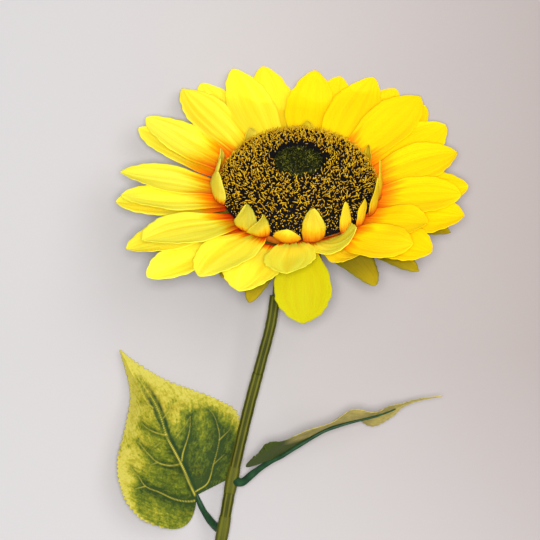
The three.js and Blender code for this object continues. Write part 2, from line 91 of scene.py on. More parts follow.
PETALETS = [
    (-127.5, 19.5, 79, 0, -20, 76, 0.92), (-117, 20, 68, 0, -16, 90, 1), (-98, 10, 64, 40, 0, 0, 1.15),
    (-80.5, 23.5, 80, 4, 0, -36, 0.98), (-56.5, 18.5, 92, 5, 0, 0, 0.56), (-43, 17, 84, 0, 0, 0, 0.6),
    (-26, 21, 86, 4, 0, 16, 1.1), (-9, 22, 91, 6, 0, 0, 0.8), (31, 10, 84, 6, 0, 0, 0.5),
    (83, 10, 82, 10, 0, 0, 0.7), (125, 11, 82, 10, 0, 0, 0.7), (159, 13, 88, 8, 0, 0, 0.6),
    (179, 18, 92, 24, 0, 0, 0.8), (-166, 18, 88, 14, -20, 0, 1.1),
]
UPPER_SEPALS = [
    (-113, 32, -16, -22, 0, 0, 0.8), (-56, 34, 3, -26, 0, 0, 1), (-13, 45, 4, -20, 0, 0, 1),
    (33, 44, 2, -10, 0, 0, 1), (78, 27, 0, 0, 0, 0, 1), (123, 29, 0, 0, 0, 0, 1),
    (168, 44, 2, -10, 0, 0, 1), (-150, 44, 0, -14, 0, 0, 1),
]
LOWER_SEPALS = [
    (-133, 34, -3, -20, 0, 0, 1), (-86, 26, -28, -22, 0, 0, 1), (-34, 49, 6, -30, 0, 0, 1),
    (10, 44, 2, -14, 0, 0, 1), (55, 30, 0, 0, 0, 0, 1), (100, 22, 0, 0, 0, 0, 1),
    (145, 32, 0, 0, 0, 0, 1), (-170, 44, 2, -14, 0, 0, 1),
]
STEM_PATH = [
    (-11, -52, 27), (-13.2, -66.2, 25.9), (-17.9, -84.4, 24.3), (-24.4, -108.7, 22.2),
    (-32.9, -145.3, 19.7), (-38.3, -175, 17.9), (-60, -285, 10.8), (-83, -430, 2.6),
]
STEP_AT, STEP_GAP = 0.105, 0.1
NECK_RADIUS, UPPER_RADIUS, LOWER_RADIUS = 1.6, 2.7, 2.85
STEM_RIBS, RIB_DEPTH = 6, 0.28
SLEEVE_LENGTH, STUB_RADIUS, STUB_LENGTH = 14, 2.3, 6.5
LEAF_THICK = 0.8
LEAF_LEFT = dict(
    at=0.316,
    spine=[(-51.5, -154.7, 6.3), (-62, -134, 3.6), (-78, -106, 2.9), (-90.8, -80.2, 5)],
    half=dict(right=36, left=37.5),
    fold=dict(right=(1, 1, 8), left=(34, 34, 62)),
    lobe=dict(right=0, left=11.5),
    outline=dict(
        right=[(0, 0.66), (0.1, 0.85), (0.2, 0.97), (0.32, 1.05), (0.44, 0.89), (0.62, 0.57), (0.74, 0.35),
               (0.84, 0.2), (0.93, 0.08), (1, 0.01)],
        left=[(0, 0.7), (0.1, 0.94), (0.2, 1), (0.32, 0.98), (0.44, 0.84), (0.62, 0.5), (0.74, 0.25),
              (0.84, 0.13), (0.93, 0.06), (1, 0.01)],
    ),
    petiole=[(-47.8, -162.5, 6.4)],
)
LEAF_RIGHT = dict(
    at=0.249,
    spine=[(-10, -132.2, 30.8), (-3, -128.2, 32), (4.5, -123.4, 33.2), (16, -117.3, 34.3), (43, -110.2, 33),
           (58, -104.6, 29.5), (73, -102.2, 26.5)],
    half=dict(right=29, left=31),
    fold=dict(right=(-87, -86, -56), left=(71, 79, 73)),
    lobe=dict(right=8, left=14),
    outline=dict(
        right=[(0, 0.6), (0.12, 0.9), (0.25, 1), (0.4, 0.9), (0.5, 0.72), (0.6, 0.55), (0.7, 0.3),
               (0.77, 0.08), (0.86, 0.045), (1, 0.01)],
        left=[(0, 0.66), (0.12, 0.9), (0.25, 1), (0.4, 0.86), (0.52, 0.7), (0.62, 0.52), (0.71, 0.26),
              (0.78, 0.08), (0.86, 0.045), (1, 0.01)],
    ),
    petiole=[(-22, -141.4, 25.2), (-15.5, -136.4, 28.2)],
)

# ---------- frames and curves


def unit(v):
    return v / np.maximum(np.linalg.norm(v, axis=-1, keepdims=True), 1e-9)


def head_to_flower(p):
    x, y, z = p[..., 0], p[..., 1], p[..., 2]
    c, s = math.cos(TILT), math.sin(TILT)
    return np.stack([x, y * c + z * s, -y * s + z * c + HEAD_HEIGHT], -1)


def dome_height(r):
    share = (1 - np.minimum(r / DISC_RADIUS, 1) ** DISC_BULGE) ** (1 / DISC_BULGE)
    return DISC_SKIRT + (DISC_DOME - DISC_SKIRT) * share


def find_offset():
    """Where the flower's frame sits in the row frame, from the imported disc's own box."""
    turn = np.linspace(0, 2 * math.pi, 37)
    rings = [
        np.stack([r * np.sin(turn), r * np.cos(turn), 0 * turn + z], -1)
        for r, z in ((DISC_RADIUS, DISC_SKIRT), (DISC_RADIUS - 1, 0))
    ]
    return np.array(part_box("seed_disc")[0]) * 1000 - head_to_flower(np.concatenate(rings)).min(0)


OFFSET = find_offset()


def spline(values, t):
    """Catmull-Rom through evenly spaced values, at places t from 0 to 1."""
    values = np.asarray(values, float)
    n = len(values) - 1
    padded = np.concatenate([[2 * values[0] - values[1]], values, [2 * values[-1] - values[-2]]])
    x = np.clip(np.asarray(t) * n, 0, n - 1e-9)
    k = x.astype(int)
    f = (x - k).reshape(x.shape + (1,) * (values.ndim - 1))
    a, b, c, d = padded[k], padded[k + 1], padded[k + 2], padded[k + 3]
    square, cube = 2 * a - 5 * b + 4 * c - d, 3 * b - a - 3 * c + d
    return 0.5 * (2 * b + (c - a) * f + square * f**2 + cube * f**3)


class Path:
    """The same centripetal curve as three.js makes, read by share of its length."""

    def __init__(self, points):
        p = np.array(points, float)
        p = np.concatenate([[2 * p[0] - p[1]], p, [2 * p[-1] - p[-2]]])
        out = []
        for k in range(1, len(p) - 2):
            x0, x1, x2, x3 = p[k - 1 : k + 3]
            spans = ((x0, x1), (x1, x2), (x2, x3))
            d0, d1, d2 = [max(np.linalg.norm(b - a) ** 0.5, 1e-4) for a, b in spans]
            t1 = ((x1 - x0) / d0 - (x2 - x0) / (d0 + d1) + (x2 - x1) / d1) * d1
            t2 = ((x2 - x1) / d1 - (x3 - x1) / (d1 + d2) + (x3 - x2) / d2) * d1
            f = np.linspace(0, 1, 80, endpoint=k == len(p) - 3)[:, None]
            square, cube = -3 * x1 + 3 * x2 - 2 * t1 - t2, 2 * x1 - 2 * x2 + t1 + t2
            out.append(x1 + t1 * f + square * f**2 + cube * f**3)
        self.points = np.concatenate(out)
        steps = np.linalg.norm(np.diff(self.points, axis=0), axis=1)
        self.at = np.concatenate([[0], np.cumsum(steps)])
        self.length = self.at[-1]

    def point(self, share):
        s = np.clip(np.asarray(share, float), 0, 1) * self.length
        return np.stack([np.interp(s, self.at, self.points[:, k]) for k in range(3)], -1)

    def tangent(self, share):
        s = np.asarray(share, float)
        return unit(self.point(np.minimum(s + 0.004, 1)) - self.point(np.maximum(s - 0.004, 0)))


# ---------- meshes


def piece(name, parts, mat, slot, *nodes):
    """A new piece from (vertices, faces, uv, attributes), with the vertices in the flower's frame
    and in millimetres. It stands for the solids in nodes, or is extra detail. Its slot is not used."""
    verts, faces, uv, attributes = parts
    mesh = bpy.data.meshes.new(name)
    mesh.from_pydata(((verts + OFFSET) / 1000).tolist(), [], faces)
    mesh.update()
    layer = mesh.uv_layers.new(name="UVMap")
    loops = np.zeros(len(mesh.loops), int)
    mesh.loops.foreach_get("vertex_index", loops)
    layer.data.foreach_set("uv", uv[loops].ravel())
    for key, values in attributes.items():
        data = mesh.attributes.new(key, "FLOAT", "POINT")
        data.data.foreach_set("value", np.asarray(values, float).ravel())
    mesh.polygons.foreach_set("use_smooth", [True] * len(mesh.polygons))
    mesh.materials.append(mat)
    obj = bpy.data.objects.new(name, mesh)
    bpy.context.scene.collection.objects.link(obj)
    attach(obj, "root")
    if nodes:
        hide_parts(*nodes)


def sheet(grid, thickness, uv, attributes):
    """A closed thin sheet round a grid of points: vertices, faces, uv and attributes."""
    rows, cols = grid.shape[:2]
    normal = unit(np.cross(np.gradient(grid, axis=1), np.gradient(grid, axis=0)))
    half = (thickness / 2 if np.isscalar(thickness) else thickness[..., None] / 2) * normal
    verts = np.concatenate([(grid + half).reshape(-1, 3), (grid - half).reshape(-1, 3)])
    index = np.arange(rows * cols).reshape(rows, cols)
    a, b, c, d = index[:-1, :-1], index[:-1, 1:], index[1:, 1:], index[1:, :-1]
    upper = np.stack([a, b, c, d], -1).reshape(-1, 4)
    lower = np.stack([d, c, b, a], -1).reshape(-1, 4) + rows * cols
    border = np.concatenate([index[0, :-1], index[:-1, -1], index[-1, :0:-1], index[:0:-1, 0]])
    after = np.roll(border, -1)
    rim = np.stack([after, border, border + rows * cols, after + rows * cols], -1)
    faces = np.concatenate([upper, lower, rim]).tolist()
    extra = {"under": np.concatenate([np.zeros(rows * cols), np.ones(rows * cols)])}
    for key, values in attributes.items():
        extra[key] = np.concatenate([values.ravel(), values.ravel()])
    flat = uv.reshape(-1, 2)
    return verts, faces, np.concatenate([flat, flat]), extra


def merged(parts):
    """Several (vertices, faces, uv, attributes) as one."""
    verts, faces, uvs, extra = [], [], [], {}
    base = 0
    for v, f, u, e in parts:
        verts.append(v)
        faces += [[k + base for k in face] for face in f]
        uvs.append(u)
        for key, values in e.items():
            extra.setdefault(key, []).append(values)
        base += len(v)
    extra = {key: np.concatenate(values) for key, values in extra.items()}
    return np.concatenate(verts), faces, np.concatenate(uvs), extra


def tube(points, tangents, radius, along, **attributes):
    """A closed tube. radius[i, k] is its radius at ring i and side k, and along is each ring's
    place in millimetres."""
    rings, sides = radius.shape
    side = unit(np.cross(np.array([0, 0, 1.0]), tangents))
    up = np.cross(tangents, side)
    turn = np.arange(sides) * 2 * math.pi / sides
    around = np.cos(turn)[None, :, None] * side[:, None] + np.sin(turn)[None, :, None] * up[:, None]
    verts = (points[:, None] + radius[..., None] * around).reshape(-1, 3)
    index = np.arange(rings * sides).reshape(rings, sides)
    after = np.roll(index, -1, axis=1)
    quads = np.stack([index[:-1], after[:-1], after[1:], index[1:]], -1).reshape(-1, 4).tolist()
    faces = quads + [index[0, ::-1].tolist(), index[-1].tolist()]
    uv = np.stack(np.broadcast_arrays(turn[None] / (2 * math.pi), along[:, None]), -1).reshape(-1, 2)
    return verts, faces, uv, attributes


def tube_along(path, share, radius, **attributes):
    return tube(path.point(share), path.tangent(share), radius, share * path.length, **attributes)


def lathe(profile, sides):
    """A closed body of revolution about the head's axis, from the axis and back to it."""
    profile = np.array(profile, float)
    turn = np.arange(sides) * 2 * math.pi / sides
    out, height = profile[:, None, 0], profile[:, None, 1]
    ring = np.stack([out * np.cos(turn), out * np.sin(turn), 0 * turn + height], -1)
    rows = len(profile)
    index = np.arange(rows * sides).reshape(rows, sides)
    after = np.roll(index, -1, axis=1)
    faces = np.stack([index[:-1], after[:-1], after[1:], index[1:]], -1).reshape(-1, 4).tolist()
    uv = np.stack(np.broadcast_arrays(turn[None] / (2 * math.pi), height), -1).reshape(-1, 2)
    return head_to_flower(ring.reshape(-1, 3)), faces, uv, {}


# ---------- petals

# Thickness of the visible cloth of petals and leaves, and half the width of a petal's very tip.
SHEET_THICK = 0.35
TIP_HALF = 0.25


def petal_outline(share, ring):
    neck, broadest = ring["neck"], ring["broadest"]
    foot = neck + (1 - neck) * np.sin(np.clip(share / broadest, 0, 1) * math.pi / 2)
    point = (1 - np.clip((share - broadest) / (1 - broadest), 0, 1) ** 2.1) ** 0.7
    return np.where(share < broadest, foot, point)


# How far the orange of the feet runs out round the head by azimuth, and how far painted light pales the
# cloth there, standing in for stronger light on that side of the head.
WARMTH = [
    (-180, 0.8), (-150, 0.5), (-120, 0.4), (-95, 0.12), (-78, 0.2), (-60, 0.9), (-30, 0.95), (0, 1), (30, 1),
    (48, 0.75), (65, 0.45), (85, 0.35), (108, 0.35), (128, 0.7), (150, 1), (168, 0.9), (180, 0.8),
]
PAINTED_LIGHT_BY_AZIMUTH = [
    (-180, 1), (-140, 1), (-110, 0.8), (-80, 0.5), (-50, 0.0), (0, 0.0), (50, 0.0), (85, 0.0), (110, 0.4),
    (150, 1), (180, 1),
]


def round_head(table, azimuth):
    places, values = np.array(table, float).T
    return float(np.interp((azimuth + 180) % 360 - 180, places, values))


def stations(ring, row, steps):
    """The middle line of a petal as the CAD steps along it, with its sideways and upward ways."""
    azimuth, length, lift, curl, roll, sweep, _ = row
    lowest = ring["rest"] + ring["thick"] / 2
    a = math.radians(azimuth)
    point = np.array([ring["start"] * math.cos(a), ring["start"] * math.sin(a), ring["level"]])
    out = []
    for i in range(steps + 1):
        share = i / steps
        heading, rise = math.radians(azimuth + sweep * share), math.radians(lift + curl * share**1.5)
        level = math.cos(rise)
        ahead = np.array([math.cos(heading) * level, math.sin(heading) * level, math.sin(rise)])
        step = length / steps
        room = HEAD_HEIGHT + point @ UP - lowest
        if room + ahead @ UP * step < 0:
            ahead = unit(ahead - UP * (ahead @ UP + max(room, 0) / step))
        flat = np.array([math.sin(heading), -math.cos(heading), 0])
        face = unit(np.cross(flat, ahead))
        side = flat * math.cos(math.radians(roll)) + face * math.sin(math.radians(roll))
        out.append((point, side, unit(np.cross(side, ahead))))
        point = point + ahead * step
    return [np.array(x) for x in zip(*out)]


def petal(
    ring, row, steps, size, thickness=SHEET_THICK, waves=0.45, grooves=4, groove=0.12,
    warm=None, olive=0.0, pale=None,
):
    """One petal as a thin closed sheet: cupped, waved at its edges and grooved along its length."""
    nu, nv = size
    u = 1 - (1 - np.linspace(0, 1, nu)) ** 1.35
    v = np.linspace(-1, 1, nv)
    centre, side, up = [spline(x, u)[:, None] for x in stations(ring, row, steps)]
    half = np.maximum(petal_outline(u, ring) * ring["width"] / 2 * row[6], TIP_HALF)[:, None, None]
    V, U = v[None, :, None], u[:, None, None]
    phase = rng.uniform(0, 2 * math.pi, 4)
    bend = ring["cup"] * half * (V**2 - 0.4)
    fade = np.clip((1 - U) * 3, 0, 1)
    painted_groove_shade = 0 * U * V
    for k in range(grooves):
        place = (k + 0.5) / grooves * 1.7 - 0.85 + rng.uniform(-0.05, 0.05)
        width = 0.075 + 0.05 * rng.random()
        line = np.exp(-(((V - place * (0.6 + 0.4 * np.sin(U * 2.6))) / width) ** 2)) * fade
        depth = rng.uniform(0.4, 1.3)
        bend = bend - groove * depth * line
        # The grooves also carry painted shade along their lines.
        painted_groove_shade = painted_groove_shade + 0.8 * depth * line
    rise = np.clip(U * 3, 0, 1)
    flutter = np.abs(V) ** 2.5 * np.sign(V + 1e-9) * np.sin(U * rng.uniform(7, 11) + phase[0])
    bend = bend + waves * flutter * rise
    bend = bend + 0.5 * waves * np.sin(U * 9 + phase[1]) * np.cos(V * 2.4 + phase[2]) * rise
    edge = 1 + 0.018 * np.sin(U * 23 + phase[3] + 2 * V) * np.abs(V)
    nicks = np.sin(U * 58 + phase[2] + 9 * np.sign(V))
    edge = edge + 0.05 * np.abs(V) ** 3 * np.clip(U * 2 - 1, 0, 1) * nicks
    points = centre + side * V * half * edge + up * bend
    low = ring["rest"] + thickness / 2 + 0.1 - (HEAD_HEIGHT + points @ UP)
    points = points + np.maximum(low, 0)[..., None] * UP
    uv = np.stack(np.broadcast_arrays((v[None] + 1) / 2, u[:, None]), -1)
    thin = thickness * (1 - 0.5 * np.abs(V[..., 0]) ** 6) * np.ones((nu, 1))
    # Tones for the material: the reach of the orange, painted light that pales the cloth, olive, and painted
    # shade along the grooves.
    tones = {
        "warm": np.full((nu, nv), round_head(WARMTH, row[0]) if warm is None else warm),
        "pale": np.full((nu, nv), round_head(PAINTED_LIGHT_BY_AZIMUTH, row[0]) if pale is None else pale),
        "olive": np.full((nu, nv), olive),
        "painted_groove_shade": np.clip(painted_groove_shade[..., 0], 0, 1),
    }
    return sheet(head_to_flower(points), thin, uv, tones)


# ---------- materials


def lin(r, g, b):
    """A linear colour from the usual 0 to 255 values."""
    shares = [c / 255 for c in (r, g, b)]
    return tuple(c / 12.92 if c <= 0.04045 else ((c + 0.055) / 1.055) ** 2.4 for c in shares) + (1,)


class Look:
    """A node material: n() adds a node, whose inputs may be values or other nodes' outputs."""

    def __init__(self, name, **principled):
        self.mat = bpy.data.materials.new(name)
        self.mat.use_nodes = True
        self.tree = self.mat.node_tree
        self.bsdf = self.tree.nodes["Principled BSDF"]
        for key, value in principled.items():
            self.bsdf.inputs[key.replace("_", " ")].default_value = value

    def n(self, kind, out=0, inputs=None, **props):
        node = self.tree.nodes.new("ShaderNode" + kind)
        for key, value in props.items():
            setattr(node, key, value)
        for key, value in (inputs or {}).items():
            if isinstance(value, bpy.types.NodeSocket):
                self.tree.links.new(value, node.inputs[key])
            else:
                node.inputs[key].default_value = value
        return node.outputs[out]

    def to(self, socket, value):
        self.tree.links.new(value, self.bsdf.inputs[socket])

    def math(self, operation, a, b=0.0, c=0.0, clamp=False):
        return self.n("Math", operation=operation, use_clamp=clamp, inputs={0: a, 1: b, 2: c})

    def times(self, a, b, clamp=False):
        return self.math("MULTIPLY", a, b, clamp=clamp)

    def minus(self, a, b, clamp=False):
        return self.math("SUBTRACT", a, b, clamp=clamp)

    def fit(self, a, factor, offset, clamp=False):
        """a * factor + offset"""
        return self.math("MULTIPLY_ADD", a, factor, offset, clamp)

    def join(self, x, y, z=0.0):
        return self.n("CombineXYZ", inputs={0: x, 1: y, 2: z})

    def uv(self):
        """The two coordinates of the mesh's UV map."""
        place = self.n("UVMap", uv_map="UVMap")
        return [self.n("SeparateXYZ", out=k, inputs={0: place}) for k in (0, 1)]

    def ramp(self, factor, stops):
        node = self.tree.nodes.new("ShaderNodeValToRGB")
        elements = node.color_ramp.elements
        while len(elements) > 1:
            elements.remove(elements[-1])
        for k, (place, colour) in enumerate(stops):
            element = elements[0] if k == 0 else elements.new(place)
            element.position = place
            element.color = colour
        self.tree.links.new(factor, node.inputs[0])
        return node.outputs[0]

    def mix(self, factor, a, b, blend="MIX"):
        return self.n("Mix", out=2, data_type="RGBA", blend_type=blend, inputs={0: factor, 6: a, 7: b})

    def noise(self, vector, scale, detail=3.0, rough=0.55, distort=0.0):
        values = {"Scale": scale, "Detail": detail, "Roughness": rough, "Distortion": distort}
        return self.n("TexNoise", inputs={"Vector": vector, **values})

    def attribute(self, name):
        return self.n("Attribute", out=2, attribute_name=name)

    def object_place(self):
        return self.n("TexCoord", out=3)

    def off_middle(self, across):
        return self.math("ABSOLUTE", self.minus(across, 0.5))

    def done(self, colour, height, strength, distance):
        """Sets the colour and the bump, and gives back the material."""
        self.to("Base Color", colour)
        values = {"Height": height, "Strength": strength, "Distance": distance}
        self.to("Normal", self.n("Bump", inputs=values))
        return self.mat


def petal_look(name, foot, low, middle, pale, olive, reach):
    """Printed cloth: orange at the foot, running out in streaks, with fine lengthwise veins, painted light
    that pales it, and painted shade in its folds and grooves.
    """
    look = Look(name, Roughness=0.72, Specular_IOR_Level=0.1)
    look.bsdf.inputs["Subsurface Weight"].default_value = 0.2
    look.bsdf.inputs["Subsurface Radius"].default_value = (1.0, 0.7, 0.1)
    look.bsdf.inputs["Subsurface Scale"].default_value = 0.0015
    across, along = look.uv()
    warm, painted_light, olive_and_painted_shade, painted_groove_shade = [look.attribute(x) for x in ("warm", "pale", "olive", "painted_groove_shade")]
    chance = look.n("ObjectInfo", out=5)
    shifted = look.times(chance, 40)
    streaks = look.noise(look.join(look.times(across, 7), along, shifted), 1.6, 4)
    fine = look.noise(look.join(look.times(across, 26), look.times(along, 1.2), shifted), 1.5, 2)
    folds = look.noise(look.join(look.times(across, 5), look.times(along, 0.7), shifted), 1.1, 1)
    middle_line = look.off_middle(across)
    # Share of the way from the orange foot to the plain cloth, uneven from streak to streak.
    place = look.fit(look.minus(streaks, 0.5), -0.42, along)
    place = look.fit(middle_line, -0.16, place)
    extent = look.math("MAXIMUM", look.times(warm, reach), 0.04)
    place = look.math("DIVIDE", place, extent, clamp=True)
    # Painted light: the cloth is paled where the head is painted as more strongly lit, most on the crests of
    # the broad folds.
    painted_light_share = look.math("MULTIPLY", painted_light, look.fit(folds, 1.0, 0.3), clamp=True)
    cloth = look.mix(painted_light_share, middle, pale)
    # On the rays the olive is painted shade, for petals that face away from the light.
    cloth = look.mix(olive_and_painted_shade, cloth, olive)
    colour = look.ramp(place, [(0.0, foot), (0.3, low), (0.72, middle), (1.0, middle)])
    colour = look.mix(look.fit(place, 2.4, -1.3, clamp=True), colour, cloth)
    veins = look.times(look.minus(0.49, fine, clamp=True), 1.1, clamp=True)
    colour = look.mix(veins, colour, lin(250, 216, 100), "MULTIPLY")
    # Painted shade: darker in the troughs of the broad folds and along the grooves.
    painted_fold_shade = look.times(look.minus(0.46, folds, clamp=True), 2.2, clamp=True)
    colour = look.mix(painted_fold_shade, colour, lin(252, 230, 130), "MULTIPLY")
    colour = look.mix(look.times(painted_groove_shade, 0.35), colour, lin(250, 222, 90), "MULTIPLY")
    weave = look.noise(look.join(look.times(across, 60), look.times(along, 130), chance), 1.0, 1)
    height = look.fit(folds, 2.2, look.fit(fine, 0.8, look.times(weave, 0.15)))
    return look.done(colour, height, 0.28, 0.0007)


# The pale colours below are painted light, and the olive of the rays is painted shade.
ray_look = petal_look(
    "ray petal cloth", foot=lin(232, 58, 4), low=lin(252, 136, 2), middle=lin(250, 209, 0),
    pale=lin(255, 251, 74), olive=lin(182, 176, 0), reach=0.5,
)
petalet_look = petal_look(
    "petalet cloth", foot=lin(190, 92, 12), low=lin(220, 156, 20), middle=lin(222, 196, 30),
    pale=lin(234, 218, 80), olive=lin(206, 198, 66), reach=0.75,
)


def sepal_look():
    """Olive cloth, greener at its foot and rim, with fine lengthwise lines."""
    look = Look("sepal cloth", Roughness=0.8, Specular_IOR_Level=0.12)
    across, along = look.uv()
    mottled = look.noise(look.object_place(), 190.0, 4)
    lines = look.noise(look.join(look.times(across, 12), along), 2.0, 2)
    colour = look.ramp(
        look.fit(look.minus(mottled, 0.5), 0.5, along),
        [(0.0, lin(82, 88, 24)), (0.35, lin(124, 114, 18)), (1.0, lin(162, 140, 10))],
    )
    dark_lines = look.times(look.minus(0.52, lines, clamp=True), 1.1)
    colour = look.mix(dark_lines, colour, lin(112, 102, 12))
    rim = look.fit(look.off_middle(across), 9.0, -3.6, clamp=True)
    colour = look.mix(look.times(rim, 0.7), colour, lin(74, 84, 22))
    height = look.fit(look.noise(look.object_place(), 900.0, 2), 0.3, lines)
    return look.done(colour, height, 0.4, 0.0005)


def floret_look():
    """Near black, with yellow tips that differ from floret to floret."""
    look = Look("disc florets", Roughness=0.7, Specular_IOR_Level=0.15)
    tip, chance = look.attribute("tip"), look.attribute("chance")
    bare = look.ramp(
        tip, [(0.0, lin(4, 2, 5)), (0.3, lin(10, 5, 9)), (0.44, lin(214, 166, 16)), (1.0, lin(252, 216, 44))]
    )
    look.to("Base Color", look.mix(look.times(chance, 0.75), bare, lin(186, 140, 60), "MULTIPLY"))
    return look.mat


def speckled(name, dark, light, scale):
    look = Look(name, Roughness=0.9, Specular_IOR_Level=0.2)
    spots = look.noise(look.object_place(), scale, 4)
    return look.done(look.ramp(spots, [(0.35, dark), (0.7, light)]), spots, 0.6, 0.0004)


def receptacle_look():
    """Olive below, dull orange near the feet of the petals."""
    look = Look("receptacle", Roughness=0.9, Specular_IOR_Level=0.2)
    spots = look.noise(look.object_place(), 160.0, 4)
    height = look.uv()[1]
    below = look.ramp(spots, [(0.35, lin(92, 98, 26)), (0.7, lin(140, 136, 40))])
    above = look.ramp(spots, [(0.35, lin(170, 84, 14)), (0.7, lin(222, 134, 22))])
    colour = look.mix(look.fit(height, 0.3, 3.0, clamp=True), below, above)
    return look.done(colour, spots, 0.6, 0.0004)


def stem_look(name, dark, light, pale):
    """Moulded plastic with lengthwise ribs, lighter on their crests, with painted shade in the furrows
    between them.
    """
    look = Look(name, Roughness=0.6, Specular_IOR_Level=0.12)
    turn, along = look.uv()
    lines = look.noise(look.join(look.times(turn, 60), look.times(along, 0.02)), 1.0, 3)
    blotches = look.noise(look.object_place(), 60.0, 4)
    colour = look.ramp(look.fit(look.minus(blotches, 0.5), 0.8, lines), [(0.3, dark), (0.7, light)])
    crest = look.attribute("crest")
    colour = look.mix(look.times(crest, 0.5), colour, pale)
    # Painted shade in the furrows between the ribs.
    painted_hollow_shade = look.fit(crest, -6.0, 1.0, clamp=True)
    colour = look.mix(look.times(painted_hollow_shade, 0.55), colour, lin(128, 136, 84), "MULTIPLY")
    look.to("Roughness", look.fit(blotches, 0.3, 0.45))
    height = look.fit(look.noise(look.object_place(), 700.0, 3), 0.4, lines)
    return look.done(colour, height, 0.25, 0.0005)


def leaf_look():
    """Printed cloth: green round the veins and towards the stalk, yellow-green at the margin, with painted
    shade beside the midrib and round the veins.
    """
    look = Look("leaf cloth", Roughness=0.75, Specular_IOR_Level=0.15)
    green, vein, groove = [look.attribute(x) for x in ("green", "vein", "groove")]
    under, khaki = [look.attribute(x) for x in ("under", "khaki")]
    place = look.object_place()
    broad = look.noise(place, 60.0, 4, 0.6)
    fine = look.noise(place, 420.0, 3, 0.65)
    grain = look.noise(place, 1000.0, 2, 0.6)
    # Feathered strokes that slant away from the midrib.
    across, along = look.uv()
    slant = look.fit(look.off_middle(across), -0.75, along)
    feather = look.noise(look.join(look.times(slant, 26), look.times(across, 9)), 1.6, 3, 0.6, 0.8)
    level = green
    for texture, amount in ((broad, 0.75), (feather, 0.75), (fine, 0.9), (grain, 0.5)):
        level = look.fit(look.minus(texture, 0.5), amount, level)
    top = look.ramp(
        level,
        [(0.0, lin(194, 184, 80)), (0.22, lin(174, 165, 50)), (0.45, lin(130, 133, 32)),
         (0.7, lin(88, 102, 24)), (1.0, lin(48, 66, 22))],
    )
    rusty = look.fit(look.noise(place, 90.0, 2, 0.5), 4.0, -2.2, clamp=True)
    top = look.mix(look.times(rusty, 0.5), top, lin(232, 204, 150), "MULTIPLY")
    # Painted shade: dark green in the crease beside the midrib and round the veins.
    top = look.mix(groove, top, lin(26, 54, 26))
    top = look.mix(vein, top, lin(226, 210, 74))
    below = look.ramp(
        look.fit(fine, 0.5, look.times(broad, 0.5)),
        [(0.32, lin(142, 136, 66)), (0.66, lin(212, 192, 108))],
    )
    below = look.mix(look.times(vein, 0.6), below, lin(206, 196, 122))
    # Painted shade beside the midrib and round the veins, on the underside too.
    below = look.mix(look.times(groove, 0.35), below, lin(98, 104, 52))
    below = look.mix(khaki, lin(70, 84, 26), below)
    height = look.fit(vein, 0.8, look.fit(fine, 0.6, look.times(grain, 0.3)))
    return look.done(look.mix(under, top, below), height, 0.4, 0.0006)


def rib_look():
    """Dark green plastic of the leaf stalks and the ribs under the blades."""
    look = Look("rib plastic", Roughness=0.5, Specular_IOR_Level=0.2)
    spots = look.noise(look.object_place(), 260.0, 4)
    colour = look.ramp(spots, [(0.3, lin(20, 50, 30)), (0.75, lin(40, 78, 46))])
    return look.done(colour, spots, 0.35, 0.0004)


sepal_mat = sepal_look()
floret_mat = floret_look()
leaf_mat = leaf_look()
rib_mat = rib_look()
stem_mat = stem_look("stem plastic", lin(68, 71, 16), lin(96, 98, 28), lin(128, 124, 42))
neck_mat = stem_look("neck plastic", lin(84, 86, 70), lin(120, 120, 98), lin(150, 148, 128))
disc_mat = speckled("disc ground", lin(3, 1, 3), lin(9, 5, 8), 900.0)
button_mat = speckled("button ground", lin(8, 10, 4), lin(26, 30, 10), 700.0)
receptacle_mat = receptacle_look()


# ---------- the head

# Petals whose colour differs from their neighbours', by number. On the rays the olive is painted shade, for
# petals that face away from the light, and the pale tone is painted light; on the petalets warmth and olive
# differ.
RAY_PAINTED_SHADE = {"inner": {10: 0.1, 11: 0.1}, "outer": {10: 1.0, 9: 0.2}}
RAY_PAINTED_LIGHT = {"inner": {9: 1.0, 10: 1.0}, "outer": {}}
PETALET_WARMTH = {1: 0.3, 2: 0.45, 3: 1.5, 4: 0.7, 13: 0.3, 14: 0.3}
PETALET_OLIVE = {1: 0.9, 2: 0.5, 13: 0.5, 14: 0.6}
RAY_STEPS, PETALET_STEPS = 8, 6
RAY_GRID, PETALET_GRID, SEPAL_GRID = (50, 35), (30, 17), (34, 15)

for kind, ring, rows in (("inner", INNER, INNER_PETALS), ("outer", OUTER, OUTER_PETALS)):
    for k, row in enumerate(rows, 1):
        parts = petal(
            ring, row, RAY_STEPS, RAY_GRID, olive=RAY_PAINTED_SHADE[kind].get(k, 0), pale=RAY_PAINTED_LIGHT[kind].get(k)
        )
        piece(f"ray_petal_{kind}_{k:02d}", parts, ray_look, "ray_petal", f"ray_{kind}_{k:02d}")
for k, row in enumerate(PETALETS, 1):
    parts = petal(
        PETALET, row, PETALET_STEPS, PETALET_GRID, waves=0.25, grooves=3, groove=0.1,
        warm=PETALET_WARMTH.get(k, 0.7), olive=PETALET_OLIVE.get(k, 0.1),
    )
    piece(f"petalet_look_{k:02d}", parts, petalet_look, "petalet", f"petalet_{k:02d}")

HEAD_SIDES, NEAR_AXIS = 96, 0.01
BAND_WIDTH, SEPAL_SHEET = 4.4, 0.4
UPPER_LEVEL, LOWER_LEVEL = -10.6, -15.4
RECEPTACLE_OUTLINE = [
    (BACK_RADIUS, -BACK_DEPTH),
    (RECEPTACLE_RADIUS * 0.62, -RECEPTACLE_DEPTH),
    (RECEPTACLE_RADIUS * 0.86, -RECEPTACLE_DEPTH * 0.72),
    (RECEPTACLE_RADIUS, -RECEPTACLE_DEPTH * 0.5),
    (RECEPTACLE_RADIUS, -GAP),
]


def receptacle_radius(height):
    radii, heights = zip(*RECEPTACLE_OUTLINE)
    return float(np.interp(height, heights, radii))


